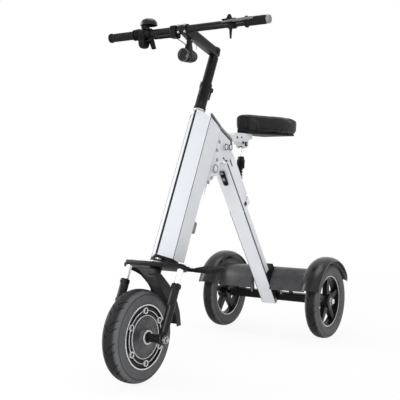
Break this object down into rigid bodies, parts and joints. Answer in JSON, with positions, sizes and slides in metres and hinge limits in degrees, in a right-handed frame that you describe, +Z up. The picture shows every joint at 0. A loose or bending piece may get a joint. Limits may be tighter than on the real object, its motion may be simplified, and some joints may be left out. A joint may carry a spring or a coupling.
{
  "type": "seated electric scooter",
  "caption": "Folding three-wheeled electric scooter with a saddle: raked battery case, front hub motor, sprung fork, foot pegs and a folding rear leg.",
  "frame": {"origin": "on the ground, at the middle of the outline seen from above", "axes": "+Z up, the front wheel points to -Y, +X is the rider's left"},
  "size_m": [0.56, 1.061, 1.0325],
  "materials": {
    "silver": "satin silver paint",
    "black_metal": "satin black paint",
    "black_plastic": "moulded, fine grain",
    "black_rubber": "matt",
    "tyre": "matt",
    "chrome": "polished",
    "steel": "satin",
    "cast_alloy": "cast, painted grey",
    "saddle": "soft vinyl",
    "lens": "clear",
    "battery_wrap": "shrink wrap",
    "grey_plastic": "moulded"
  },
  "bodies": {
    "frame": {"head_case": "silver", "base_casting": "black_metal", "top_cap": "silver", "battery_pack": "battery_wrap", "motor_controller": "grey_plastic", "charge_port": "black_plastic", "pivot_bracket": "silver", "leg_pivot_bolt": "silver", "seat_arm_bolt": "silver", "seat_stop_bolt": "silver"},
    "steering": {"steerer": "steel", "fork_crown": "black_metal", "stanchion_left": "chrome", "stanchion_right": "chrome", "front_mudguard": "black_plastic", "headset_collar": "silver", "column_sleeve": "black_metal"},
    "fork_lower": {"fork_slider_left": "black_metal", "fork_slider_right": "black_metal", "front_axle": "steel", "motor_stator": "cast_alloy"},
    "front_wheel": {"front_tyre": "tyre", "hub_motor_shell": "cast_alloy", "hub_cover": "steel"},
    "clamp_lever_body": {"clamp_lever": "steel"},
    "column_upper": {"column_tube": "black_metal"},
    "stem": {"stem_arm": "black_metal", "handlebar": "black_metal", "grip_left": "black_rubber", "grip_right": "black_rubber", "throttle_housing": "black_plastic", "bell": "black_metal", "junction_box": "black_plastic", "brake_perch": "black_metal", "cable_wrap": "black_plastic", "control_cable": "black_rubber"},
    "throttle_lever_body": {"throttle_lever": "grey_plastic"},
    "power_button_body": {"power_button": "grey_plastic"},
    "brake_lever_body": {"brake_lever": "steel"},
    "headlight": {"headlight_shell": "black_plastic", "headlight_lens": "lens"},
    "rear_leg_body": {"leg_head": "silver", "rear_leg": "silver", "axle_carrier": "black_metal", "rear_fairing": "black_plastic", "fender_left": "black_plastic", "fender_right": "black_plastic"},
    "leg_lock_body": {"leg_lock_lever": "black_plastic"},
    "rear_wheel_left_body": {"rear_tyre_left": "tyre", "rear_wheel_left": "cast_alloy"},
    "rear_wheel_right_body": {"rear_tyre_right": "tyre", "rear_wheel_right": "cast_alloy"},
    "seat": {"seat_arm": "silver", "seat_pan": "black_plastic", "seat_cushion": "saddle"},
    "shock_upper": {"shock_body": "black_metal", "shock_spring": "steel"},
    "shock_lower": {"shock_rod": "chrome"},
    "peg_left_body": {"peg_left": "black_rubber"},
    "peg_right_body": {"peg_right": "black_rubber"}
  },
  "joints": [
    {"name": "steering", "type": "hinge", "parent": "frame", "child": "steering", "pos_m": [0, -0.31582, 0.30676], "axis": [0, 0.4384, 0.8988], "range_deg": [-28, 28]},
    {"name": "fork_travel", "type": "slide", "parent": "steering", "child": "fork_lower", "axis": [0, 0.4384, 0.8988], "range_m": [0, 0.028], "stiffness_N_per_m": 9000, "springref_m": -0.03},
    {"name": "front_wheel_spin", "type": "hinge", "parent": "fork_lower", "child": "front_wheel", "pos_m": [0, -0.4035, 0.127], "axis": [1, 0, 0], "continuous": true},
    {"name": "clamp_lever_swing", "type": "hinge", "parent": "steering", "child": "clamp_lever_body", "pos_m": [0, -0.03667, 0.81981], "axis": [1, 0, 0], "range_deg": [0, 100]},
    {"name": "column_height", "type": "slide", "parent": "steering", "child": "column_upper", "axis": [0, 0.4384, 0.8988], "range_m": [-0.052, 0]},
    {"name": "stem_angle", "type": "hinge", "parent": "column_upper", "child": "stem", "pos_m": [0, -0.00721, 0.93951], "axis": [1, 0, 0], "range_deg": [-25, 4]},
    {"name": "throttle_press", "type": "hinge", "parent": "stem", "child": "throttle_lever_body", "pos_m": [0, -0.17319, 0.98648], "axis": [1, 0, 0], "range_deg": [-30, 0], "stiffness_Nm_per_rad": 0.35, "springref_deg": 17.19},
    {"name": "power_button_press", "type": "slide", "parent": "stem", "child": "power_button_body", "axis": [0, -1, 0], "range_m": [0, 0.0022], "stiffness_N_per_m": 700, "springref_m": -0.001},
    {"name": "brake_pull", "type": "hinge", "parent": "stem", "child": "brake_lever_body", "pos_m": [0.1525, -0.20319, 0.98648], "axis": [0, 0, 1], "range_deg": [0, 14], "stiffness_Nm_per_rad": 1.2, "springref_deg": -11.46},
    {"name": "headlight_tilt", "type": "hinge", "parent": "stem", "child": "headlight", "pos_m": [0, -0.15319, 0.93948], "axis": [1, 0, 0], "range_deg": [-18, 18]},
    {"name": "leg_fold", "type": "hinge", "parent": "frame", "child": "rear_leg_body", "pos_m": [0, -0.07053, 0.57998], "axis": [1, 0, 0], "range_deg": [-60, 0]},
    {"name": "leg_lock", "type": "hinge", "parent": "rear_leg_body", "child": "leg_lock_body", "pos_m": [0, 0.03349, 0.57029], "axis": [1, 0, 0], "range_deg": [-70, 0], "stiffness_Nm_per_rad": 0.3, "springref_deg": 22.92},
    {"name": "rear_wheel_left_spin", "type": "hinge", "parent": "rear_leg_body", "child": "rear_wheel_left_body", "pos_m": [0.201, 0.3915, 0.127], "axis": [1, 0, 0], "continuous": true},
    {"name": "rear_wheel_right_spin", "type": "hinge", "parent": "rear_leg_body", "child": "rear_wheel_right_body", "pos_m": [-0.201, 0.3915, 0.127], "axis": [1, 0, 0], "continuous": true},
    {"name": "seat_travel", "type": "hinge", "parent": "frame", "child": "seat", "pos_m": [0, -0.00844, 0.64705], "axis": [1, 0, 0], "range_deg": [-7, 0], "stiffness_Nm_per_rad": 1400, "springref_deg": 5.73},
    {"name": "shock_swing", "type": "hinge", "parent": "seat", "child": "shock_upper", "pos_m": [0, 0.16256, 0.66205], "axis": [1, 0, 0], "range_deg": [-1, 6.5]},
    {"name": "shock_slide", "type": "slide", "parent": "shock_upper", "child": "shock_lower", "axis": [0, 0.1218, 0.9926], "range_m": [-0.001, 0.022], "deforming": ["shock_spring"]},
    {"name": "peg_left_fold", "type": "hinge", "parent": "frame", "child": "peg_left_body", "pos_m": [0.056, -0.2545, 0.295], "axis": [0, -1, 0], "range_deg": [0, 88]},
    {"name": "peg_right_fold", "type": "hinge", "parent": "frame", "child": "peg_right_body", "pos_m": [-0.056, -0.2545, 0.295], "axis": [0, 1, 0], "range_deg": [0, 88]}
  ],
  "couplings": [
    {"joint": "shock_swing", "follows": "seat_travel", "ratio": -0.85646},
    {"joint": "shock_slide", "follows": "seat_travel", "m_per_rad": -0.16944}
  ]
}
